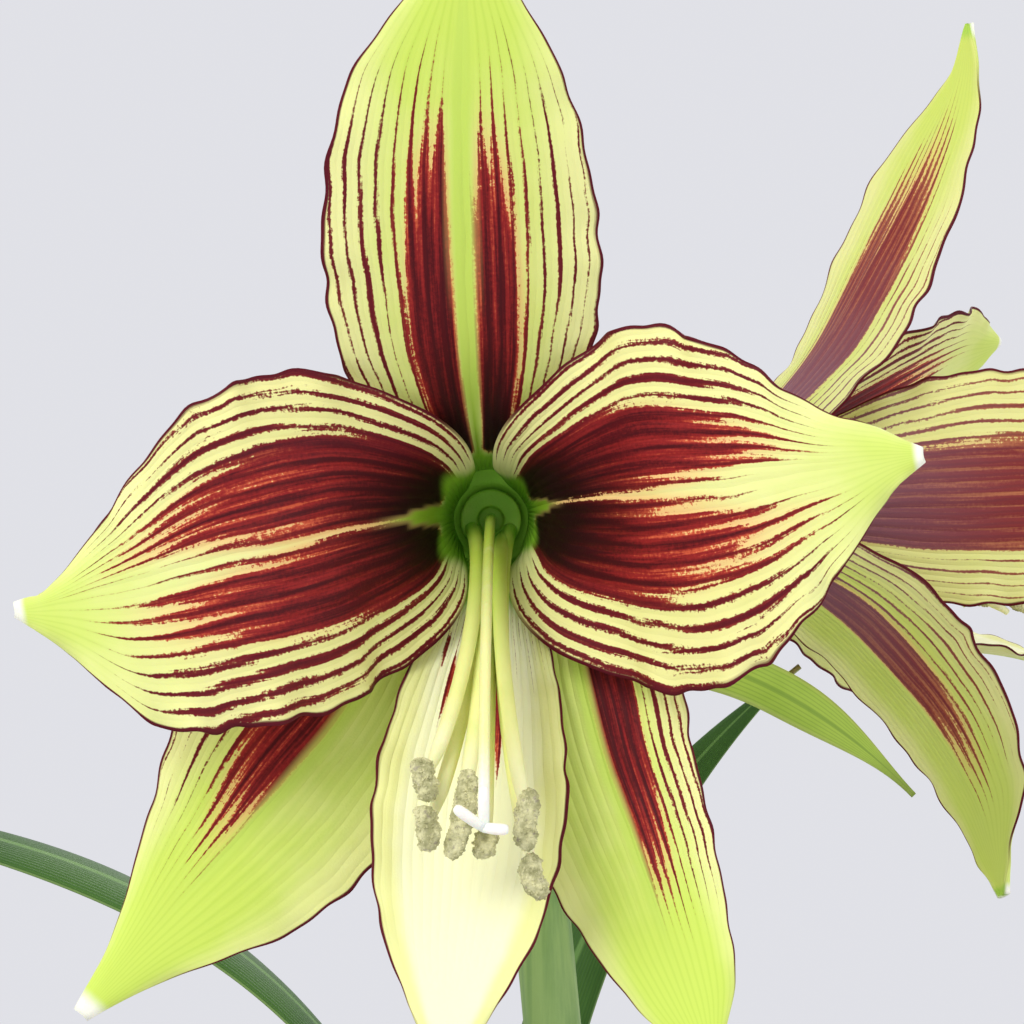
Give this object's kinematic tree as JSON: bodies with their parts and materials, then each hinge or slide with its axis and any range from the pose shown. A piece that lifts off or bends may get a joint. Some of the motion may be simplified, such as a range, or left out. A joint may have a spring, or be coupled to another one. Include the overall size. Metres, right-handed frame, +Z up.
{
  "type": "potted papilio amaryllis",
  "caption": "Butterfly amaryllis in flower in a plain clay pot, with striped maroon and cream-green blooms on a tall scape above its bulb and arching strap leaves.",
  "frame": {"origin": "centre of the pot's flat underside", "axes": "+Z up along the pot's axis; the first flower faces -Y, the second faces +X and a little towards +Y; the leaves fan out along X"},
  "size_m": [0.3913, 0.1877, 0.5267],
  "materials": {
    "pot": "matte",
    "soil": "matte",
    "tunic": "satin",
    "scape": "satin",
    "leaf": "satin",
    "spathe": "satin",
    "stalk": "satin",
    "petal": "satin",
    "sepal": "satin",
    "filament": "satin",
    "anther": "matte",
    "pistil": "satin"
  },
  "bodies": {
    "root": {"pot": "pot", "soil": "soil", "bulb": "tunic", "scape": "scape", "leaf_1": "leaf", "leaf_2": "leaf", "leaf_3": "leaf", "leaf_4": "leaf", "leaf_5": "leaf", "leaf_6": "leaf", "spathe_valve_1": "spathe", "spathe_valve_2": "spathe", "front_stalk": "stalk", "front_sepal_top": "sepal", "front_petal_left": "petal", "front_petal_right": "petal", "front_petal_bottom": "petal", "front_sepal_lower_left": "sepal", "front_sepal_lower_right": "sepal", "front_filaments": "filament", "front_anther_1": "anther", "front_anther_2": "anther", "front_anther_3": "anther", "front_anther_4": "anther", "front_anther_5": "anther", "front_anther_6": "anther", "front_pistil": "pistil", "right_stalk": "stalk", "right_sepal_top": "sepal", "right_petal_left": "petal", "right_petal_right": "petal", "right_petal_bottom": "petal", "right_sepal_lower_left": "sepal", "right_sepal_lower_right": "sepal", "right_filaments": "filament", "right_anther_1": "anther", "right_anther_2": "anther", "right_anther_3": "anther", "right_anther_4": "anther", "right_anther_5": "anther", "right_anther_6": "anther", "right_pistil": "pistil"}
  },
  "joints": []
}
